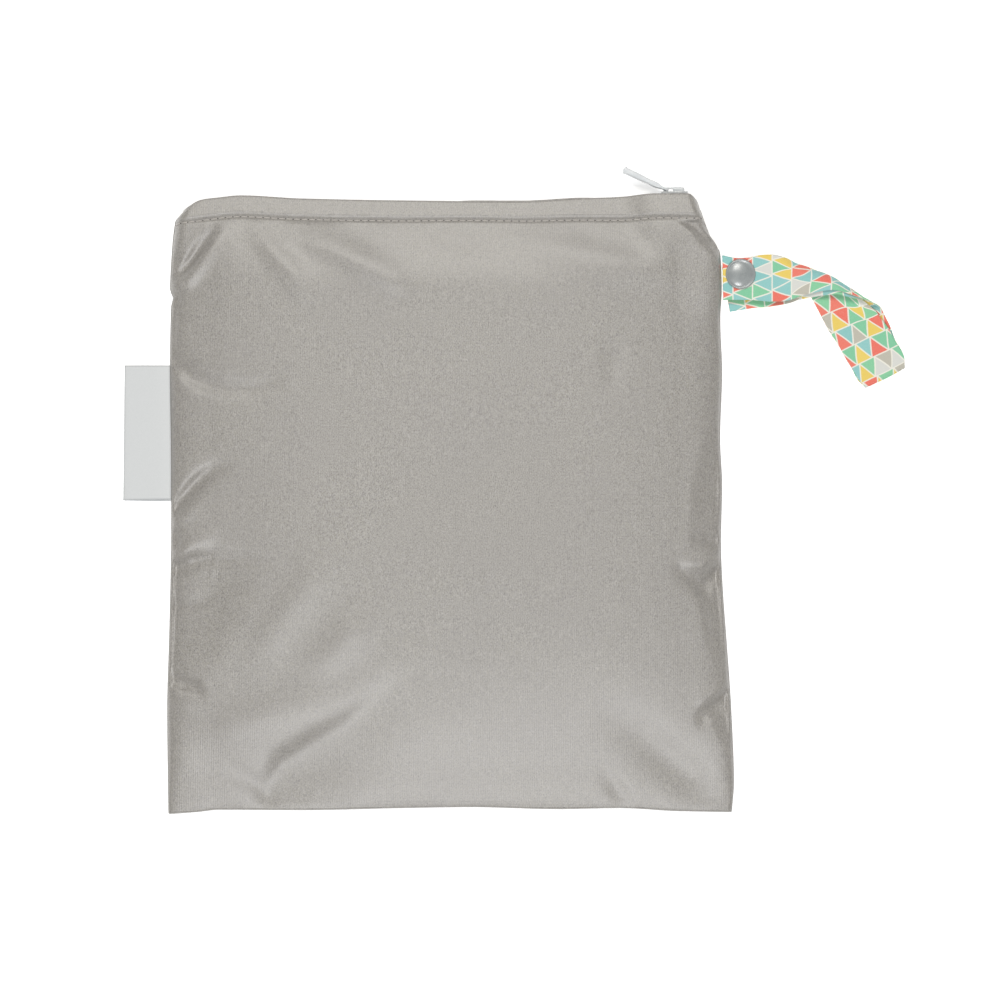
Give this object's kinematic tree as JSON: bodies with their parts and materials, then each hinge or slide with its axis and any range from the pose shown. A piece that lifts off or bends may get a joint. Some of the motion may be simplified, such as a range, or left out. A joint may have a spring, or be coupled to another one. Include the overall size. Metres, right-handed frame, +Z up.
{
  "type": "cloth diaper wet bag",
  "caption": "Soft zippered pouch for wet cloth diapers, with a snap strap to hang it and a small folded care label.",
  "frame": {"origin": "on the flat back panel, at the middle of the pouch, where the bag rests", "axes": "+X right across the pouch towards the strap, +Y towards the zipper, +Z up out of the front panel"},
  "size_m": [0.392, 0.3229, 0.016],
  "materials": {
    "knit": "matt heather knit with a faint sheen",
    "tape": "woven zipper tape",
    "coil": "nylon coil",
    "enamel": "white enamel, glossy",
    "print": "printed woven cotton",
    "snap": "moulded resin, satin to glossy",
    "label": "light grey label tape"
  },
  "bodies": {
    "bag": {"bag_body": "knit", "zipper_tape_front": "tape", "zipper_tape_back": "tape", "zipper_coil": "coil", "zipper_slider": "enamel", "strap": "print", "snap_cap": "snap", "snap_socket": "snap", "snap_stud": "snap", "snap_back_cap": "snap", "care_label": "label"},
    "pull": {"zipper_pull": "enamel"}
  },
  "joints": [
    {"name": "pull_swing", "type": "hinge", "parent": "bag", "child": "pull", "pos_m": [0.10828, 0.1573, 0.00789], "axis": [0, 0, 1], "range_deg": [-145, 18]}
  ]
}
